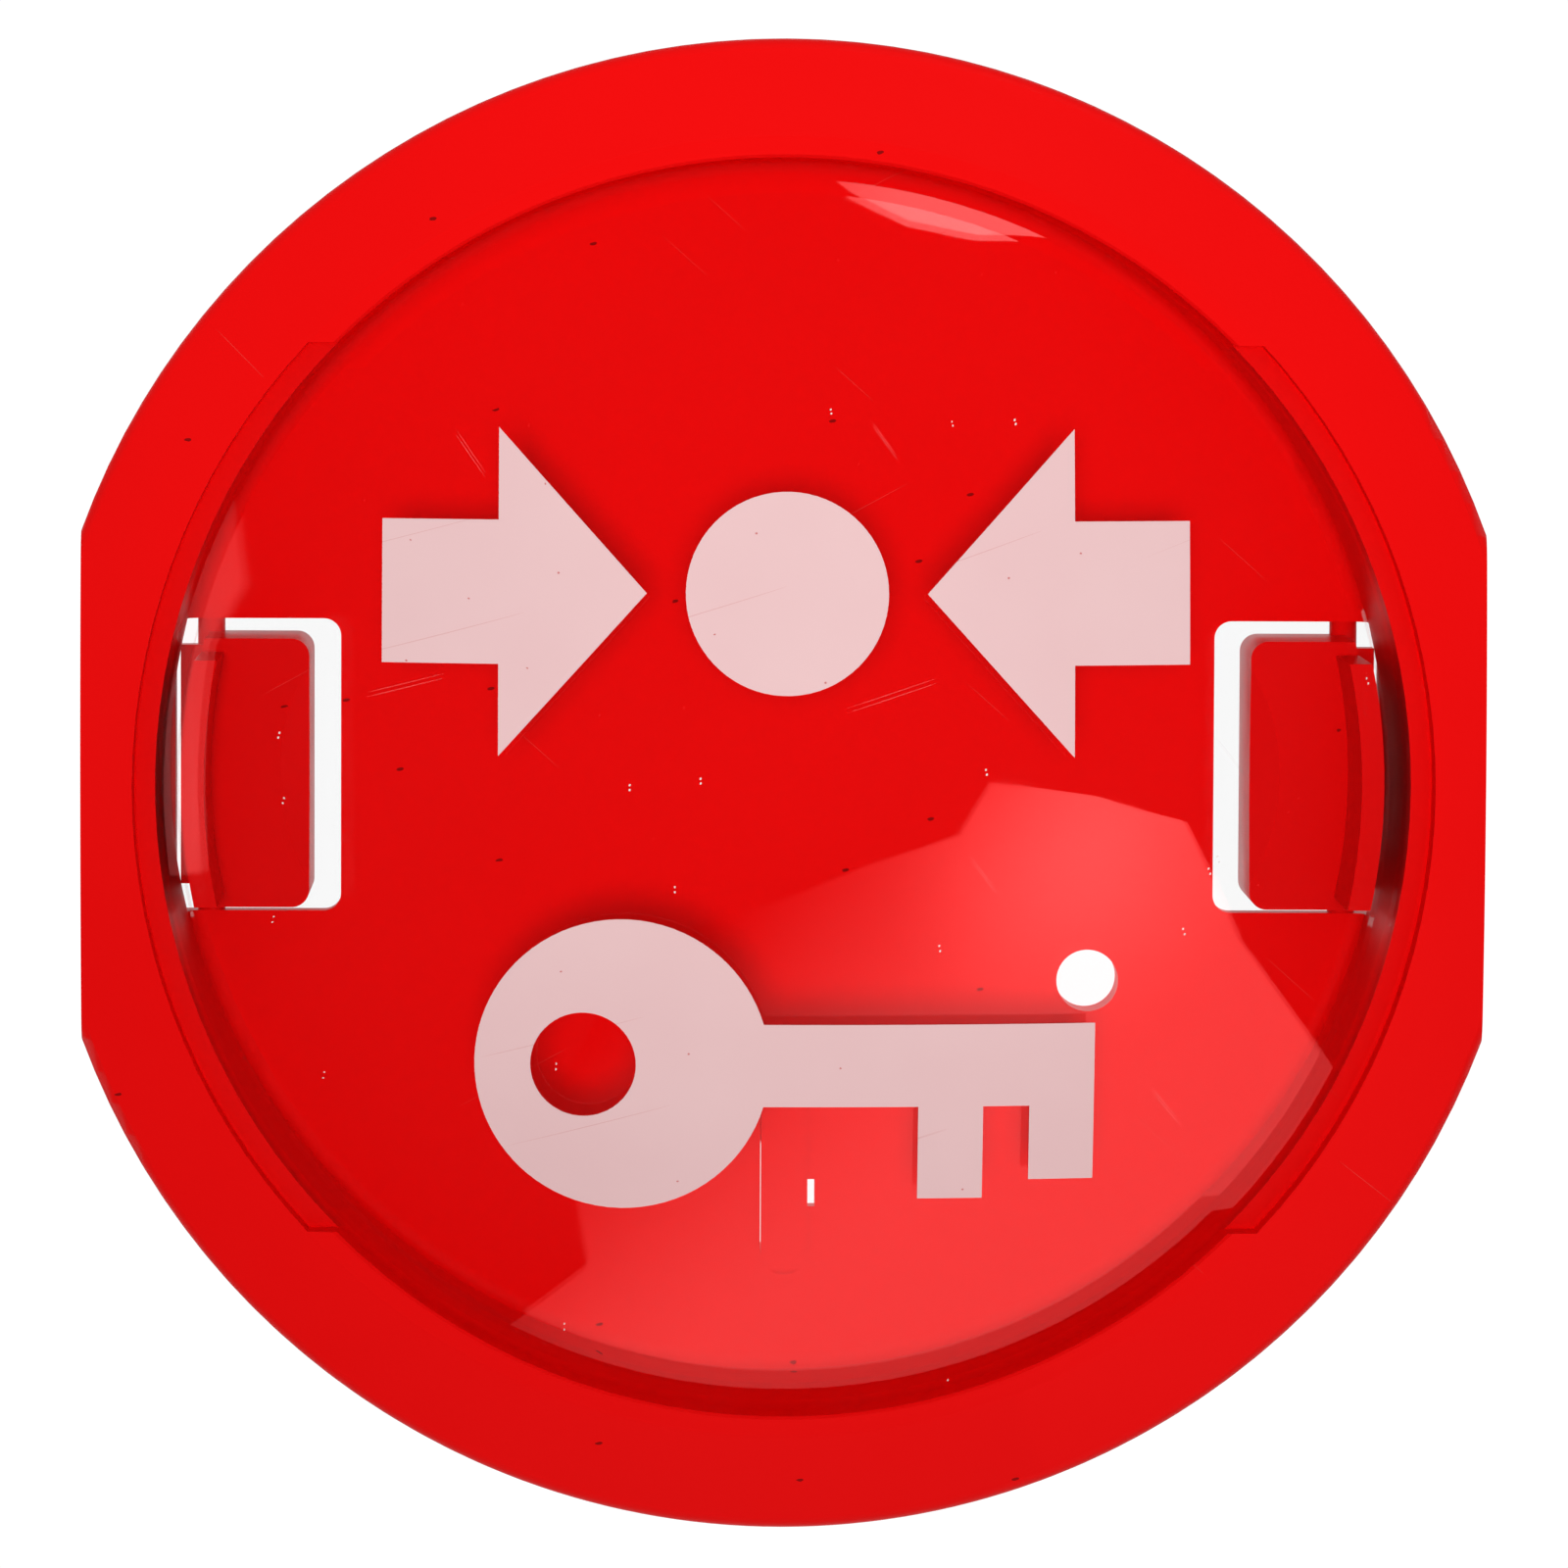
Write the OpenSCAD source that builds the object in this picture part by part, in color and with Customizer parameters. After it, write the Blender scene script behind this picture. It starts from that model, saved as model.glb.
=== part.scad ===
/* [Rim] */
// Height of the box over its round rim
overall_d = 100; // [80:1:130]
// How far each side flat cuts into the round rim
flat_cut = 3; // [1:0.25:4]
// How far the rim's outer edge stands off the wall
rim_h = 26; // [20:0.5:34]
// Width of the front, from the rim's edge to the mouth of the cup
bezel_w = 7.9; // [7.5:0.1:11]
// How much the sloping front rises towards the cup
bezel_rise = 2.2; // [1.5:0.1:3.5]
// Width of the flatter lip round the mouth of the cup
lip_w = 1.4; // [1:0.1:1.6]
// How much the lip rises towards the mouth
lip_rise = 0.35; // [0:0.05:0.45]
// Rounding of the rim's front edge
rim_round = 1; // [0.5:0.1:1.5]

/* [Walls of the base] */
// Thickness of the skirt that stands on the wall
skirt_t = 1.6; // [1.2:0.1:2]
// Thickness of the cup's round wall
cup_t = 2.2; // [2.1:0.1:2.4]
// Thickness of the sloping front
bezel_t = 1.8; // [1.4:0.1:2.2]
// Thickness of the back plate
plate_t = 2; // [1.6:0.1:2.6]
// Gap between the back plate and the wall
plate_gap = 2; // [1.8:0.1:4]
// Rounding where the cup's wall meets the back plate
foot_round = 1; // [0.5:0.1:1.2]
// Chamfer at the mouth of the cup
mouth_chamfer = 0.25; // [0.15:0.05:0.4]
// Number of ribs between the cup and the skirt
rib_count = 6; // [2:2:10]
// Thickness of one rib
rib_t = 1.2; // [0.8:0.1:2]
// How far the ribs stay clear of the wall
rib_clear = 1; // [0.5:0.1:3]

/* [Screw holes] */
// Circle through the two screw holes
screw_pcd = 52.5; // [46:0.5:58]
// Direction of the upper hole, turned from the right-hand side
screw_angle = 145.4; // [130:0.1:150]
// Diameter of a screw hole
screw_d = 4.3; // [3.5:0.1:5]
// Wall of the boss behind a screw hole
boss_t = 2.2; // [1.5:0.1:3]

/* [Key loop] */
// Width of the strap that holds the key
loop_w = 3.2; // [2.5:0.1:5]
// Thickness of the strap
loop_t = 1.6; // [1.2:0.1:2.4]
// Clear height under the strap, for a key's blade
loop_gap = 2.4; // [2:0.1:3.5]
// Length of the opening under the strap
loop_open = 7.4; // [5:0.1:9]
// Length of the strap's upper foot
loop_foot = 3.2; // [1.6:0.1:4]
// Distance from the cup's wall to the strap's lower end
loop_inset = 7; // [4:0.1:10]
// Distance of the strap to the right of the middle
loop_off = 0.5; // [0:0.1:2]
// How much wider than the strap the opening behind it is, on each side
loop_side = 0; // [0:0.05:1]
// Width of the small notch at the right of that opening
nick_w = 0.6; // [0.3:0.1:1]
// Height of that notch
nick_h = 1.9; // [1:0.1:3]
// Rounding of the strap's front corners
loop_round = 0.6; // [0.3:0.1:0.8]

/* [Latches] */
// Height of a latch
latch_h = 18.4; // [14:0.2:22]
// Slot above and below a latch
latch_gap = 0.95; // [0.6:0.05:1.5]
// Slot beside the press pad
pad_slot = 1.9; // [1.5:0.05:3]
// Distance from the cup's wall to the free edge of the press pad
pad_reach = 9.9; // [7:0.1:10.5]
// How far the press pad stands off the back plate
pad_h = 9; // [4:0.1:9.5]
// Rounding of the press pad's free corners
pad_round = 1.2; // [0.5:0.1:2]
// Wall around the hollow behind the press pad
pad_wall = 1.3; // [1:0.1:1.6]
// Thickness of the press pad's face
pad_face = 2.6; // [2.4:0.1:3]
// Radius of the shallow scoop for the thumb, where it meets the face
scoop_r = 15; // [10:0.5:18]
// How far the scoop reaches over the face of the pad
scoop_reach = 2; // [1:0.1:3]
// Depth of the scoop at the free edge of the pad
scoop_depth = 0.7; // [0.5:0.1:1.5]
// Diameter of the torsion bar that carries a latch
bar_d = 1.9; // [1.5:0.1:2.2]
// Distance from the cup's wall to the torsion bar's axis
bar_inset = 2.8; // [2.4:0.1:3.2]
// Thickness of the finger that bears on the cover's skirt
finger_t = 1.5; // [1.2:0.1:1.8]
// How much shorter than the press pad the finger is at each end
finger_short = 0.9; // [0:0.1:3]
// Gap between the finger and the cover's skirt
finger_gap = 0.25; // [0.2:0.05:0.5]
// How far the finger's tip stays below the mouth of the cup
finger_drop = 3.8; // [3.6:0.1:5]
// Distance from the cup's wall to the outer edge of a latch's foot
foot_inset = 0.7; // [0.5:0.1:1.2]
// Slot between a latch's foot and the plate
foot_gap = 0.35; // [0.25:0.05:0.5]
// Height of the notch that a latch's window leaves in the cup's wall, above the plate
notch_h = 1.5; // [1:0.5:10]

/* [Cover] */
// Wall thickness of the clear cover
cover_t = 1.2; // [1:0.1:1.5]
// Gap between the cover's skirt and the cup
cover_fit = 0.25; // [0.2:0.05:0.5]
// How far the cover's skirt reaches into the cup
cover_reach = 6; // [4:0.5:8]
// Height of the cover's crown above the mouth of the cup
cover_rise = 7.5; // [6.5:0.1:12]
// How far below the mouth the cover's outer rounding starts
cover_sink = 2; // [1.8:0.1:3]
// Outer rounding between the cover's skirt and its crown
cover_round = 0.5; // [0.4:0.1:2]
// Inner rounding between the cover's skirt and its crown
inner_round = 0.3; // [0.2:0.1:0.8]
// Half of the height of a side lug
lug_half = 29.55; // [20:0.05:31]
// Width of a side lug outside the cup's wall
lug_w = 1.25; // [1:0.05:1.3]
// Thickness of a side lug
lug_t = 1.2; // [1:0.1:1.3]
// How far the face of a lug lies below the mouth of the cup
lug_drop = 1.5; // [1.4:0.1:1.7]
// Gap between a lug and its recess at the ends and the rim
lug_fit = 0.15; // [0.1:0.05:0.25]
// Gap below a lug
lug_clear = 0.1; // [0.05:0.05:0.2]

/* [Print] */
// Thickness of the printed layer
print_t = 0.12; // [0.1:0.01:0.2]
// Bare border between the print and the edge of the crown
print_border = 8.4; // [5:0.05:12]

/* [Hidden] */
$fn = 128;
// How far a cut runs past the surface that it opens
past = 1;
// How far two parts of one outline or cut lap over each other
lap = 0.01;
// Sides of the crown's circle, which is much larger than the rest
crown_fn = 256;
// The print rests on the cover with this film of air, so that neither cuts the other
print_film = 0.02;

rim_r = overall_d / 2;
flat_x = rim_r - flat_cut;
cup_r = rim_r - bezel_w;
mouth_h = rim_h + bezel_rise;
lip_r = cup_r + lip_w;
bezel_angle = atan(bezel_rise / (bezel_w - lip_w));
plate_front = plate_gap + plate_t;
skirt_in = rim_r - skirt_t;
wall_out = cup_r + cup_t;

window_in = cup_r - pad_reach - pad_slot;
foot_out = cup_r - foot_inset;
window_out = foot_out + foot_gap;
window_h = latch_h + 2 * latch_gap;
pad_x = cup_r - pad_reach;
bar_x = cup_r - bar_inset;
bar_level = plate_gap + plate_t / 2;

cover_out = cup_r - cover_fit;
cover_in = cover_out - cover_t;
finger_out = cover_in - finger_gap;
finger_top = mouth_h - finger_drop;
lug_out = cup_r + lug_w;
lug_front = mouth_h - lug_drop;
lug_back = lug_front - lug_t;
recess_out = lug_out + lug_fit;
recess_half = lug_half + lug_fit;

// The crown is the ball that is tangent to the edge's rounding and reaches the full rise
round_x = cover_out - cover_round;
round_level = mouth_h - cover_sink;
crown_level = mouth_h + cover_rise;
crown_h = crown_level - round_level;
crown_r = (crown_h * crown_h + round_x * round_x - cover_round * cover_round)
    / (2 * (crown_h - cover_round));
crown_z = crown_level - crown_r;

loop_end = cup_r - loop_inset;
loop_len = loop_foot + loop_open + loop_t;
loop_front = plate_front + loop_gap + loop_t;

// One unit of the print's drawing, which is drawn to fit a circle of 32 units
unit = (round_x - print_border) / 32;

// Turns a piece that is drawn lying on its back so that it hangs on the wall
module hang() {
    rotate([90, 0, 0]) children();
}

// Height of the sloping front at a radius
function bezel_at(r) = rim_h + (rim_r - r) * tan(bezel_angle);

// A box through the whole depth that keeps what lies between the two side flats
module between_flats(half) {
    translate([-half, -rim_r - past, -past])
        cube([2 * half, 2 * (rim_r + past), crown_level + 2 * past]);
}

// A rectangle from x0 to x1 whose two corners at x0 are rounded
module tab_plan(x0, x1, h, r) {
    translate([x0 + r, -h / 2]) square([x1 - x0 - r, h]);
    translate([x0, -h / 2 + r]) square([r + lap, h - 2 * r]);
    for (side = [-1, 1]) {
        translate([x0 + r, side * (h / 2 - r)]) circle(r);
    }
}

// Half section of the rim, the sloping front and the lip, with the cup still filled in
module rim_section() {
    round_y = rim_h - rim_round * (1 - sin(bezel_angle)) / cos(bezel_angle);
    round_in = rim_r - rim_round;
    translate([round_in, round_y]) circle(rim_round);
    polygon([
        [0, 0],
        [rim_r, 0],
        [rim_r, round_y],
        [round_in, round_y],
        [round_in + rim_round * sin(bezel_angle), round_y + rim_round * cos(bezel_angle)],
        [lip_r, mouth_h],
        [cup_r, mouth_h + lip_rise],
        [0, mouth_h + lip_rise]
    ]);
}

// Half section of the open space behind the sloping front and the back plate
module back_section() {
    drop = bezel_t / cos(bezel_angle);
    polygon([
        [0, -past],
        [skirt_in, -past],
        [skirt_in, bezel_at(skirt_in) - drop],
        [wall_out, bezel_at(wall_out) - drop],
        [wall_out, plate_gap],
        [0, plate_gap]
    ]);
}

module ribs() {
    for (i = [0 : rib_count - 1]) {
        rotate(90 + i * 360 / rib_count)
            translate([wall_out - past, -rib_t / 2, rib_clear])
                cube([bezel_w, rib_t, rim_h]);
    }
}

module at_screws() {
    for (turn = [0, 180]) {
        rotate(screw_angle + turn) translate([screw_pcd / 2, 0, 0]) children();
    }
}

module back_space() {
    difference() {
        intersection() {
            rotate_extrude() back_section();
            between_flats(flat_x - skirt_t);
        }
        ribs();
        at_screws() cylinder(r = screw_d / 2 + boss_t, h = plate_front);
    }
}

// The cup with a rounded foot and a chamfered mouth
module cup_space() {
    rotate_extrude() difference() {
        polygon([
            [0, plate_front],
            [cup_r, plate_front],
            [cup_r, mouth_h + lip_rise - mouth_chamfer],
            [cup_r + mouth_chamfer + past, mouth_h + lip_rise + past],
            [0, mouth_h + lip_rise + past]
        ]);
        difference() {
            translate([cup_r - foot_round, plate_front])
                square([foot_round + past, foot_round]);
            translate([cup_r - foot_round, plate_front + foot_round]) circle(foot_round);
        }
    }
}

// A flat ring with straight ends above and below, for the lugs and their recesses
module side_rings(r0, r1, low, high, half) {
    intersection() {
        rotate_extrude() translate([r0, low]) square([r1 - r0, high - low]);
        translate([-rim_r, -half, 0]) cube([2 * rim_r, 2 * half, crown_level]);
    }
}

// The window round a latch, whose corners also notch the foot of the cup's wall
module latch_window() {
    translate([0, 0, -past]) linear_extrude(plate_front + notch_h + past)
        tab_plan(window_in, window_out, window_h, pad_round);
}

module strap() {
    translate([loop_off, 0, 0]) difference() {
        intersection() {
            translate([0, -loop_end + loop_w / 2, 0]) {
                cylinder(r = loop_w / 2, h = loop_front);
                translate([-loop_w / 2, 0, 0])
                    cube([loop_w, loop_len - loop_w / 2, loop_front]);
            }
            translate([-loop_w, -loop_end + loop_len, plate_front - plate_t / 2])
                rotate([90, 0, 90]) linear_extrude(2 * loop_w) strap_side();
        }
        strap_opening(loop_w, loop_gap);
    }
}

// The strap seen from its side, with its two front corners rounded
module strap_side() {
    tall = loop_front - plate_front + plate_t / 2;
    translate([-loop_len, 0]) square([loop_len, tall - loop_round]);
    translate([-loop_len + loop_round, 0]) square([loop_len - 2 * loop_round, tall]);
    for (x = [-loop_len + loop_round, -loop_round]) {
        translate([x, tall - loop_round]) circle(loop_round);
    }
}

module strap_opening(half, up) {
    translate([-half, -loop_end + loop_t, plate_gap - past])
        cube([2 * half, loop_open, plate_t + past + up]);
}

// The small notch that shows daylight beside the strap
module nick() {
    side = loop_w / 2 + loop_side;
    translate([side - past, -loop_end + loop_t + (loop_open - nick_h) / 2, plate_gap - past])
        cube([nick_w + past, nick_h, plate_t + 2 * past]);
}

// Red moulding: skirt, sloping front, lip, cup, back plate with screw bosses, and the key's strap
module base_moulding() {
    color([0.87, 0.05, 0.05]) hang() difference() {
        union() {
            difference() {
                intersection() {
                    rotate_extrude() rim_section();
                    between_flats(flat_x);
                }
                cup_space();
                back_space();
                side_rings(cup_r - past, recess_out, lug_back - lug_clear, mouth_h + past, recess_half);
                latch_window();
                mirror([1, 0, 0]) latch_window();
                translate([loop_off, 0, 0]) {
                    strap_opening(loop_w / 2 + loop_side, lap);
                    nick();
                }
            }
            strap();
        }
        at_screws() translate([0, 0, -past]) cylinder(d = screw_d, h = plate_front + 2 * past);
    }
}

// The shallow dish for the thumb, which runs out over the free edge of the pad
module scoop() {
    far = scoop_r - scoop_reach;
    lift = (scoop_reach * (2 * scoop_r - scoop_reach) - scoop_depth * scoop_depth)
        / (2 * scoop_depth);
    translate([pad_x - far, 0, plate_front + pad_h + lift])
        sphere(r = sqrt(scoop_r * scoop_r + lift * lift));
}

// One latch: hollow press pad with its scoop, finger, foot, and the torsion bar that they turn on
module latch() {
    difference() {
        union() {
            difference() {
                intersection() {
                    translate([0, 0, plate_gap]) linear_extrude(plate_t + pad_h)
                        tab_plan(pad_x, cup_r, latch_h, pad_round);
                    cylinder(r = finger_out, h = mouth_h);
                }
                scoop();
            }
            intersection() {
                translate([0, 0, plate_gap]) difference() {
                    cylinder(r = finger_out, h = finger_top - plate_gap);
                    translate([0, 0, -past])
                        cylinder(r = finger_out - finger_t, h = finger_top + past);
                }
                translate([0, finger_short - latch_h / 2, 0])
                    cube([cup_r, latch_h - 2 * finger_short, mouth_h]);
            }
            translate([bar_x, finger_short - latch_h / 2, plate_gap])
                cube([foot_out - bar_x, latch_h - 2 * finger_short, plate_t]);
        }
        translate([0, 0, plate_gap - past])
            linear_extrude(past + plate_t + pad_h - pad_face)
                tab_plan(pad_x + pad_wall, bar_x - bar_d / 2, latch_h - 2 * pad_wall, pad_wall / 2);
    }
    translate([bar_x, window_h / 2, bar_level]) rotate([90, 0, 0])
        cylinder(d = bar_d, h = window_h);
}

module left_latch() {
    color([0.82, 0.03, 0.04]) hang() mirror([1, 0, 0]) latch();
}

module right_latch() {
    color([0.82, 0.03, 0.04]) hang() latch();
}

// Half section of a domed plug: a wall at out_x, a rounded edge, and a crown of radius ball_r
module dome_section(ball_r, out_x, edge_r, foot) {
    edge_x = out_x - edge_r;
    edge_level = crown_z + sqrt(pow(ball_r - edge_r, 2) - pow(edge_x, 2));
    // The wedge that bounds the crown runs on past the ball, to twice its radius
    beyond = 2 * ball_r / (ball_r - edge_r);
    intersection() {
        translate([0, crown_z]) circle(ball_r, $fn = crown_fn);
        polygon([
            [0, foot],
            [edge_x, foot],
            [edge_x, edge_level],
            [beyond * edge_x, crown_z + beyond * (edge_level - crown_z)],
            [0, crown_z + 2 * ball_r]
        ]);
    }
    translate([edge_x, edge_level]) circle(edge_r);
    translate([0, foot]) square([out_x, edge_level - foot]);
}

// Clear cover: crown, rounded edge, skirt inside the cup and two side lugs let into the lip
module clear_cover() {
    foot = mouth_h - cover_reach;
    color([0.93, 0.96, 0.98, 0.35]) hang() {
        difference() {
            rotate_extrude() dome_section(crown_r, cover_out, cover_round, foot);
            rotate_extrude() dome_section(crown_r - cover_t, cover_in, inner_round, foot - cover_t);
        }
        side_rings(cover_in + cover_t / 4, lug_out, lug_back, lug_front, lug_half);
    }
}

// Two arrows that point at a disc: press here
module press_sign() {
    circle(6.5 * unit);
    for (side = [0, 180]) {
        rotate(side) {
            translate([-26 * unit, -4.6 * unit]) square([9 * unit, 9.2 * unit]);
            polygon([[-18.5 * unit, -10.5 * unit], [-9 * unit, 0], [-18.5 * unit, 10.5 * unit]]);
        }
    }
}

// A plain key lying on its side, with a round bow and two bits
module key_sign() {
    difference() {
        union() {
            translate([-10.5 * unit, 0]) circle(9.5 * unit);
            polygon(unit * [
                [-3, 2.7], [20, 2.7], [20, -7.6], [15.8, -7.6], [15.8, -2.7],
                [12.8, -2.7], [12.8, -8.8], [8.6, -8.8], [8.6, -2.7], [-3, -2.7]
            ]);
        }
        translate([-13 * unit, 0]) circle(3.4 * unit);
    }
}

// A ball about the crown's centre, turned so that its poles lie far from the print
module crown_ball(grow) {
    translate([0, 0, crown_z]) rotate([90, 0, 0]) sphere(r = crown_r + grow, $fn = crown_fn);
}

// A flat sign laid onto the crown as a thin layer
module on_crown() {
    difference() {
        intersection() {
            translate([0, 0, round_level]) linear_extrude(crown_h + past) children();
            crown_ball(print_film + print_t);
        }
        crown_ball(print_film);
    }
}

// White signs printed on the front of the cover
module cover_print() {
    color([0.95, 0.93, 0.92]) hang() {
        on_crown() translate([0, 13 * unit]) press_sign();
        on_crown() translate([0, -17.4 * unit]) key_sign();
    }
}

base_moulding();
left_latch();
right_latch();
clear_cover();
cover_print();
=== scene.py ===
import math

import bpy
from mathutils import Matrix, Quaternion, Vector
from mathutils.geometry import delaunay_2d_cdt


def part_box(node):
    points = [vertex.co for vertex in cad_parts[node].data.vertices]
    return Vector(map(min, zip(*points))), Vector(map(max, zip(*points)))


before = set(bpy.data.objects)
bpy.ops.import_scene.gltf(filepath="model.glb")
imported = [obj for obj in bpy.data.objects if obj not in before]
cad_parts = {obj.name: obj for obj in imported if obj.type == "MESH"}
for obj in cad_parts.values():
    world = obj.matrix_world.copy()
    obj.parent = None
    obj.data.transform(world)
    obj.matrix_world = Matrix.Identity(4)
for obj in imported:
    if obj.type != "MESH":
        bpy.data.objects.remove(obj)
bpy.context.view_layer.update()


# Base moulding: skirt, sloping front, cup, back plate and key strap in one piece.
# It is injection-moulded in red ABS, and two screws through the plate hold it to the wall.
def linear(code):
    """An sRGB hex colour as the linear colour that the shaders work in."""
    parts = [int(code[i:i + 2], 16) / 255 for i in (1, 3, 5)]
    return [p / 12.92 if p <= 0.04045 else ((p + 0.055) / 1.055) ** 2.4 for p in parts] + [1.0]


def add(tree, kind, links=None, **settings):
    """Adds one shader node. Links maps an input to a value or to the output that feeds it."""
    node = tree.nodes.new("ShaderNode" + kind)
    for key, value in settings.items():
        setattr(node, key, value)
    for key, value in (links or {}).items():
        if isinstance(value, bpy.types.NodeSocket):
            tree.links.new(value, node.inputs[key])
        else:
            node.inputs[key].default_value = value
    return node


def new_material(name):
    """An empty material and its node tree."""
    material = bpy.data.materials.new(name)
    material.use_nodes = True
    material.node_tree.nodes.clear()
    return material, material.node_tree


def point_in_mm(tree):
    """The point on the surface in millimetres, in the piece's own frame."""
    place = add(tree, "TexCoord").outputs["Object"]
    return add(tree, "Mapping", {"Vector": place, "Scale": (1000, 1000, 1000)}).outputs["Vector"]


def marks(tree, mm, turn, length, width, share):
    """Single straight marks of that length and width, 1 on a mark and 0 beside it.
    Each cell of a stretched grid may hold one, and share is how many of the cells do."""
    tilt = (math.radians(78), 0, math.radians(turn))
    turned = add(tree, "Mapping", {"Vector": mm, "Rotation": tilt}).outputs[0]
    radius = 0.35
    stretch = (2 * radius / length, 2 * radius / width, 1)
    place = add(tree, "Mapping", {"Vector": turned, "Scale": stretch}).outputs[0]
    cells = add(tree, "TexVoronoi", {"Vector": place, "Scale": 1.0}, voronoi_dimensions="2D")
    near = add(tree, "Math", {0: cells.outputs["Distance"], 1: radius}, operation="LESS_THAN").outputs[0]
    pick = add(tree, "SeparateColor", {"Color": cells.outputs["Color"]}).outputs[0]
    there = add(tree, "Math", {0: pick, 1: share}, operation="LESS_THAN").outputs[0]
    return add(tree, "Math", {0: near, 1: there}, operation="MULTIPLY").outputs[0]


def moulded_abs(name, deep, bright, scuffed, dull):
    """Red ABS from an eroded tool: satin, with a faint grain, hairline scuffs and a few nicks."""
    material, tree = new_material(name)
    mm = point_in_mm(tree)

    # The melt is a little uneven in colour over 20 to 30 mm
    tone = add(tree, "TexNoise", {"Vector": mm, "Scale": 0.04, "Detail": 3.0}).outputs["Fac"]
    body = add(tree, "Mix", {0: tone, 6: linear(deep), 7: linear(bright)}, data_type="RGBA").outputs[2]
    scuffs = add(tree, "Math", {
        0: marks(tree, mm, 28, 9, 0.03, 0.0004),
        1: marks(tree, mm, -41, 5, 0.03, 0.0005),
    }, operation="MAXIMUM").outputs[0]
    nicks = marks(tree, mm, 10, 0.5, 0.22, 0.0008)
    worn = add(tree, "Mix", {0: scuffs, 6: body, 7: linear(scuffed)}, data_type="RGBA").outputs[2]
    colour = add(tree, "Mix", {0: nicks, 6: worn, 7: linear("#8E0505")}, data_type="RGBA").outputs[2]

    # Handling has polished it in cloudy patches about 12 mm wide
    cloud = add(tree, "TexNoise", {"Vector": mm, "Scale": 0.08, "Detail": 4.0}).outputs["Fac"]
    rough = add(tree, "MapRange", {
        "Value": cloud, "From Min": 0.3, "From Max": 0.7, "To Min": dull - 0.06, "To Max": dull + 0.06,
    }).outputs[0]

    # The eroded grain is about 0.05 mm; drawn at 0.3 mm so that it shows
    grain = add(tree, "TexNoise", {"Vector": mm, "Scale": 3.2, "Detail": 2.0}).outputs["Fac"]
    cuts = add(tree, "Math", {0: scuffs, 1: nicks}, operation="ADD").outputs[0]
    height = add(tree, "Math", {0: cuts, 1: -1.5, 2: grain}, operation="MULTIPLY_ADD").outputs[0]
    bump = add(tree, "Bump", {"Height": height, "Distance": 0.00001, "Strength": 0.6}).outputs[0]
    skin = add(tree, "BsdfPrincipled", {
        "Base Color": colour, "Roughness": rough, "Normal": bump,
        "IOR": 1.53, "Specular IOR Level": 0.08,
    })
    add(tree, "OutputMaterial", {"Surface": skin.outputs[0]})
    return material


def dress(node, material):
    """Gives a piece of the frame its material."""
    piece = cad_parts[node]
    piece.data.materials.clear()
    piece.data.materials.append(material)


dress("base_moulding", moulded_abs("red_abs_moulded_satin", "#EB0203", "#F30304", "#F0403A", 0.43))


# Latches: press pad, finger and torsion bar, moulded in one with the base and sprung by the bar.
# The same red ABS, thumb-polished; its colours are painted darker as painted shade for pads deep in the
# cup.
# Painted shade: these colours are the base's red made darker for the shade deep in the cup.
pad_red_painted_shade = moulded_abs("red_abs_press_pad_painted_shade", "#DE0203", "#E60304", "#E83834", 0.34)
for latch in ("left_latch", "right_latch"):
    dress(latch, pad_red_painted_shade)


# Cover: crown, skirt and side lugs, moulded in clear polystyrene and snapped into the cup.
# It is thin and brittle, polished in the tool, and shows hairlines, dust and slow ripples.
crown_r = 0.1
crown_centre = Vector((0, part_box("clear_cover")[0][1] + crown_r, 0))


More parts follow.
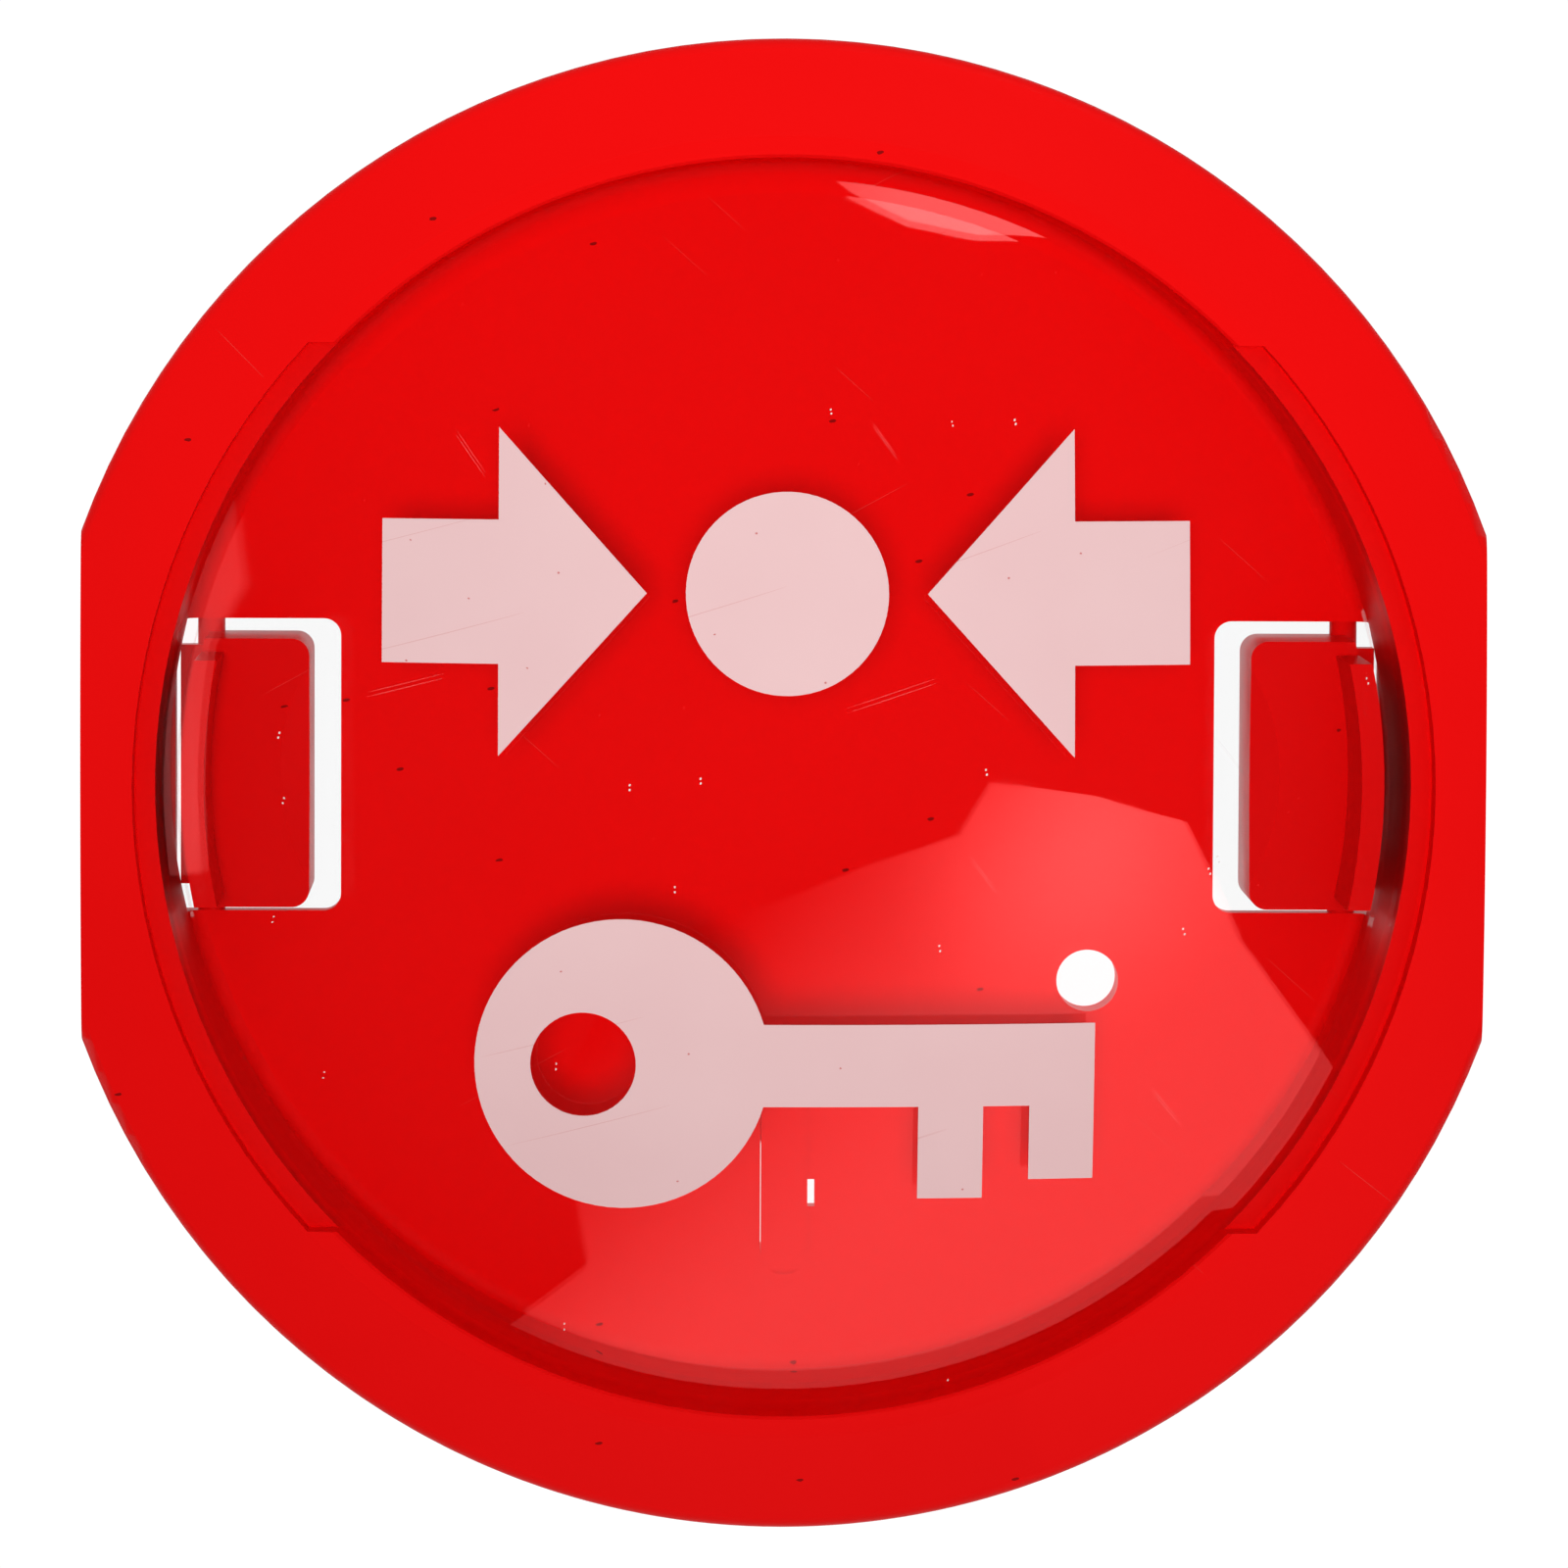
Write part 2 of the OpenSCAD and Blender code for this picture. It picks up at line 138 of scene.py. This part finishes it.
def moulded_polystyrene(name):
    """Clear polystyrene: the wall is thin, so light goes straight on, and each face mirrors a little."""
    material, tree = new_material(name)

    # The crown is part of a ball, which gives it truer normals than its mesh. It never turns.
    place = add(tree, "TexCoord").outputs["Object"]
    arm = add(tree, "VectorMath", {0: place, 1: crown_centre}, operation="SUBTRACT").outputs[0]
    ball = add(tree, "VectorMath", {0: arm}, operation="NORMALIZE").outputs[0]
    face = add(tree, "NewGeometry").outputs
    along = add(tree, "VectorMath", {
        0: ball, 1: face["True Normal"],
    }, operation="DOT_PRODUCT").outputs["Value"]
    side = add(tree, "Math", {0: along}, operation="SIGN").outputs[0]
    ball_out = add(tree, "VectorMath", {0: ball, "Scale": side}, operation="SCALE").outputs[0]
    close = add(tree, "Math", {0: along}, operation="ABSOLUTE").outputs[0]
    on_crown = add(tree, "Math", {0: close, 1: 0.998}, operation="GREATER_THAN").outputs[0]
    true_out = add(tree, "Mix", {
        0: on_crown, 4: face["Normal"], 5: ball_out,
    }, data_type="VECTOR").outputs[1]

    # The inside and the outside carry marks of their own, so the pattern is shifted by the normal
    facing_out = add(tree, "TexCoord").outputs["Normal"]
    shift = add(tree, "VectorMath", {0: facing_out, 1: (10, 10, 10)}, operation="MULTIPLY").outputs[0]
    plain_mm = point_in_mm(tree)
    mm = add(tree, "VectorMath", {0: plain_mm, 1: shift}, operation="ADD").outputs[0]

    # Slow ripples of 15 to 25 mm from the cooling of the thin wall, and fine hairlines over them
    ripple = add(tree, "TexNoise", {"Vector": plain_mm, "Scale": 0.055, "Detail": 1.0}).outputs["Fac"]
    lines = add(tree, "Math", {
        0: marks(tree, mm, 17, 8, 0.03, 0.0002),
        1: marks(tree, mm, -52, 4, 0.03, 0.0003),
    }, operation="MAXIMUM").outputs[0]
    waves = add(tree, "Bump", {
        "Height": ripple, "Distance": 0.0001, "Strength": 1.0, "Normal": true_out,
    }).outputs[0]
    scored = add(tree, "Bump", {
        "Height": lines, "Distance": 0.00001, "Strength": 0.8, "Normal": waves,
    }, invert=True).outputs[0]

    # Smudges from fingers dull the polish in patches
    smear = add(tree, "TexNoise", {
        "Vector": mm, "Scale": 0.12, "Detail": 5.0, "Distortion": 0.6,
    }).outputs["Fac"]
    rough = add(tree, "MapRange", {
        "Value": smear, "From Min": 0.4, "From Max": 0.72, "To Min": 0.01, "To Max": 0.05,
    }).outputs[0]

    # With an index of 1.59 a face mirrors 5.2 percent seen straight on, and more towards its edge.
    # The skirt is seen along its wall, where the light inside it makes up for most of that, and it
    # casts no shadow on the cup, because what its faces mirror ends up in the cup as well.
    facing = add(tree, "LayerWeight", {"Blend": 0.5, "Normal": scored}).outputs["Facing"]
    edge_on = add(tree, "Math", {0: facing, 1: 5.0}, operation="POWER").outputs[0]
    fresnel = add(tree, "MapRange", {"Value": edge_on, "To Min": 0.052, "To Max": 0.15}).outputs[0]
    shadow = add(tree, "LightPath").outputs["Is Shadow Ray"]
    mirrors = add(tree, "Mix", {0: shadow, 2: fresnel, 3: 0.0}).outputs[0]
    polish = add(tree, "BsdfGlossy", {
        "Color": linear("#FFFFFF"), "Roughness": rough, "Normal": scored,
    }).outputs[0]
    clear = add(tree, "BsdfTransparent", {"Color": linear("#FFFFFF")}).outputs[0]
    wall = add(tree, "MixShader", {0: mirrors, 1: clear, 2: polish}).outputs[0]

    # Dust, as pale specks of 0.15 mm, and the hairlines, which catch a little light
    dust = marks(tree, mm, 60, 0.18, 0.14, 0.00015)
    seen = add(tree, "Math", {0: lines, 1: 0.2, 2: dust}, operation="MULTIPLY_ADD").outputs[0]
    lint = add(tree, "BsdfDiffuse", {"Color": linear("#E9DAD6")}).outputs[0]
    surface = add(tree, "MixShader", {0: seen, 1: wall, 2: lint}).outputs[0]
    add(tree, "OutputMaterial", {"Surface": surface})
    return material


dress("clear_cover", moulded_polystyrene("clear_polystyrene_polished"))


# Print: two white signs screen-printed on the front of the cover, press here above a plain key.
# The ink is matt and thin and has a few pinholes; the red light that shines through it from behind is
# painted into its colour as pink.
def screen_ink(name):
    """White screen ink with the red light from behind painted into it as pink: matt, thinner in places,
    with pinholes, a few scratches and a fine weave.
    """
    material, tree = new_material(name)
    mm = point_in_mm(tree)
    thin = add(tree, "TexNoise", {"Vector": mm, "Scale": 0.09, "Detail": 4.0}).outputs["Fac"]
    # Painted light: both pinks are white ink with the red light from behind painted into them.
    ink = add(tree, "Mix", {
        0: thin, 6: linear("#E4BCBD"), 7: linear("#EAC6C6"),
    }, data_type="RGBA").outputs[2]
    holes = marks(tree, mm, 0, 0.16, 0.14, 0.0012)
    scratches = marks(tree, mm, 17, 12, 0.04, 0.004)
    worn = add(tree, "Math", {0: scratches, 1: 0.5, 2: holes}, operation="MULTIPLY_ADD").outputs[0]
    colour = add(tree, "Mix", {0: worn, 6: ink, 7: linear("#CC7A78")}, data_type="RGBA").outputs[2]

    # The mesh of the screen leaves a weave of 0.25 mm
    weave = add(tree, "TexNoise", {"Vector": mm, "Scale": 4.0, "Detail": 1.0}).outputs["Fac"]
    bump = add(tree, "Bump", {"Height": weave, "Distance": 0.00001, "Strength": 0.5}).outputs[0]
    film = add(tree, "BsdfPrincipled", {
        "Base Color": colour, "Roughness": 0.75, "Normal": bump,
        "IOR": 1.45, "Specular IOR Level": 0.3,
    })
    add(tree, "OutputMaterial", {"Surface": film.outputs[0]})
    return material


dress("cover_print", screen_ink("white_screen_ink_matt"))


# Camera: a long lens from a little above and a little to the left, square to the front.
eye = Vector((-0.0118, -0.615, 0.0405))
aim = Vector((0, -0.026, 0.00024))
roll = math.radians(0.25)
camera_data = bpy.data.cameras.new("camera")
camera_data.sensor_width = 36
camera_data.lens = 202.5
camera_data.clip_start = 0.05
camera = bpy.data.objects.new("camera", camera_data)
camera.location = eye
camera.rotation_mode = "QUATERNION"
camera.rotation_quaternion = (aim - eye).to_track_quat("-Z", "Y") @ Quaternion((0, 0, 1), roll)
bpy.context.collection.objects.link(camera)
bpy.context.scene.camera = camera


# Studio: a pale floor that sweeps up into a lit back wall, which shows white through the slots.
# In front it is dim, so the crown mirrors only the cards that stand there.
def lit_paper(name, strength):
    """Pale paper under its own lamps: it looks white, and lights the box with two fifths of that."""
    material, tree = new_material(name)
    soft = add(tree, "LightPath").outputs["Is Diffuse Ray"]
    power = add(tree, "MapRange", {
        "Value": soft, "To Min": strength, "To Max": 0.4 * strength,
    }).outputs[0]
    light = add(tree, "Emission", {"Color": linear("#FFFFFF"), "Strength": power}).outputs[0]
    add(tree, "OutputMaterial", {"Surface": light})
    return material


def stage_mesh(name, points, faces, material):
    """One surface of the studio."""
    mesh = bpy.data.meshes.new(name)
    mesh.from_pydata(points, [], faces)
    mesh.materials.append(material)
    piece = bpy.data.objects.new(name, mesh)
    bpy.context.collection.objects.link(piece)
    return piece


floor_z = -0.5
front_y = -0.2
wall_y = 1.6
wall_top = 2.4
half_width = 2.6
bend = 0.5
bend_steps = 12
profile = [(front_y, floor_z)]
for step in range(bend_steps + 1):
    angle = math.radians(90 * step / bend_steps)
    profile.append((wall_y - bend + bend * math.sin(angle), floor_z + bend - bend * math.cos(angle)))
profile.append((wall_y, wall_top))
points = [(side * half_width, y, z) for y, z in profile for side in (-1, 1)]
faces = [(2 * i, 2 * i + 1, 2 * i + 3, 2 * i + 2) for i in range(len(profile) - 1)]
stage_mesh("pale_sweep", points, faces, lit_paper("pale_paper_lit", 1.04))


frame_pixels = 1600


def mirrored(across, down, reach):
    """The point at that reach which the crown mirrors at a pixel of the frame."""
    ahead = -camera_data.lens / camera_data.sensor_width
    through = Vector((across / frame_pixels - 0.5, 0.5 - down / frame_pixels, ahead))
    look = (camera.rotation_quaternion @ through).normalized()
    arm = eye - crown_centre
    along = look.dot(arm)
    on_crown = eye - look * (along + math.sqrt(along ** 2 - arm.length_squared + crown_r ** 2))
    return on_crown + reach * look.reflect((on_crown - crown_centre) / crown_r)


# Cards: diffusing sheets, each even all over with one lamp close behind it, and feathered on one
# side. They stand in the glow of the red front, so they are pink. Corners, lamp and feather are
# given by the pixel of the frame where the crown shows them, some of them past the crown's edge.
def lit_diffuser(name, code, even, bright, lamp, spread, dark, full):
    """Bright in front of the lamp, even from spread metres on, and fading in from dark to full."""
    material, tree = new_material(name)
    place = add(tree, "TexCoord").outputs["Object"]
    away = add(tree, "VectorMath", {0: place, 1: lamp}, operation="DISTANCE").outputs["Value"]
    glow = add(tree, "MapRange", {
        "Value": away, "From Max": spread, "To Min": bright, "To Max": even,
    }, interpolation_type="SMOOTHSTEP").outputs[0]
    inwards = full - dark
    run = add(tree, "VectorMath", {0: place, 1: dark}, operation="SUBTRACT").outputs[0]
    share = add(tree, "VectorMath", {
        0: run, 1: inwards / inwards.length_squared,
    }, operation="DOT_PRODUCT").outputs["Value"]
    feather = add(tree, "MapRange", {"Value": share}, interpolation_type="SMOOTHSTEP").outputs[0]
    power = add(tree, "Math", {0: glow, 1: feather}, operation="MULTIPLY").outputs[0]
    light = add(tree, "Emission", {"Color": linear(code), "Strength": power}).outputs[0]
    add(tree, "OutputMaterial", {"Surface": light})
    return material


def hang_card(name, reach, code, even, bright, lamp, spread, dark, full, outline):
    """A card that only the crown shows, at that reach from it."""
    corners = [Vector(corner) for corner in outline]
    ring = list(reversed(range(len(corners))))
    corners, _, faces, *_ = delaunay_2d_cdt(corners, [], [ring], 1, 1e-6)
    lamp, dark, full = [mirrored(*pixel, reach) for pixel in (lamp, dark, full)]
    sheet = lit_diffuser(name + "_lit", code, even, bright, lamp, spread, dark, full)
    card = stage_mesh(name, [mirrored(*corner, reach) for corner in corners], faces, sheet)
    card.visible_camera = False
    card.visible_diffuse = False


hang_card(
    "low_card", reach=1.1, code="#FF7070", even=2.6, bright=5.2,
    lamp=(1090, 860), spread=0.36, dark=(650, 1000), full=(914, 1198),
    outline=(
        (984, 850), (1011, 800), (1120, 815), (1214, 840), (1265, 960), (1365, 1103), (1400, 1300),
        (1150, 1560), (863, 1600), (640, 1560), (430, 1410), (600, 1288), (570, 1120), (620, 1029),
        (701, 951), (860, 900),
    ),
)
hang_card(
    "top_card", reach=1.3, code="#FFB5B5", even=3.8, bright=4.2,
    lamp=(1040, 220), spread=0.3, dark=(780, 130), full=(930, 200),
    outline=(
        (790, 130), (824, 160), (870, 195), (930, 222), (1000, 240), (1075, 246), (1150, 200),
        (1000, 60),
    ),
)
hang_card(
    "left_card", reach=1.2, code="#FF8080", even=1.4, bright=1.8,
    lamp=(190, 830), spread=0.3, dark=(150, 350), full=(150, 660),
    outline=(
        (238, 511), (246, 596), (212, 658), (200, 812), (206, 894), (60, 884), (0, 700), (60, 440),
    ),
)

# Key light: a spot almost level with the lens, so its shadows stay small behind the cup's lip.
# It is aimed above the middle and a little to the right, so the front dims to its lower left.
lamp = bpy.data.lights.new("key_light", "SPOT")
lamp.energy = 46
lamp.shadow_soft_size = 0.08
lamp.spot_size = math.radians(12)
lamp.spot_blend = 1.0
light = bpy.data.objects.new("key_light", lamp)
light.location = (-0.03, -1.3, 0.055)
spot_aim = Vector((0.007, 0, 0.03))
light.rotation_euler = (light.location - spot_aim).to_track_quat("Z", "Y").to_euler()
light.visible_camera = False
light.visible_glossy = False
light.visible_transmission = False
bpy.context.collection.objects.link(light)

# The air stands for a white tent: it shows white to the camera, lights the box evenly and more
# from above, and is almost dark in mirrors.
world = bpy.data.worlds.new("studio_air")
world.use_nodes = True
air = world.node_tree
air.nodes.clear()
path = add(air, "LightPath").outputs
height = add(air, "SeparateXYZ", {0: add(air, "TexCoord").outputs["Generated"]}).outputs["Z"]
tent = add(air, "MapRange", {"Value": height, "From Min": -1, "To Min": 0.3, "To Max": 0.6}).outputs[0]
fill = add(air, "Mix", {0: path["Is Diffuse Ray"], 2: 0.01, 3: tent}).outputs[0]
tone = add(air, "Mix", {0: path["Is Camera Ray"], 6: fill, 7: (1, 1, 1, 1)}, data_type="RGBA").outputs[2]
add(air, "OutputWorld", {"Surface": add(air, "Background", {"Color": tone}).outputs[0]})
bpy.context.scene.world = world
bpy.context.scene.view_settings.view_transform = "Standard"
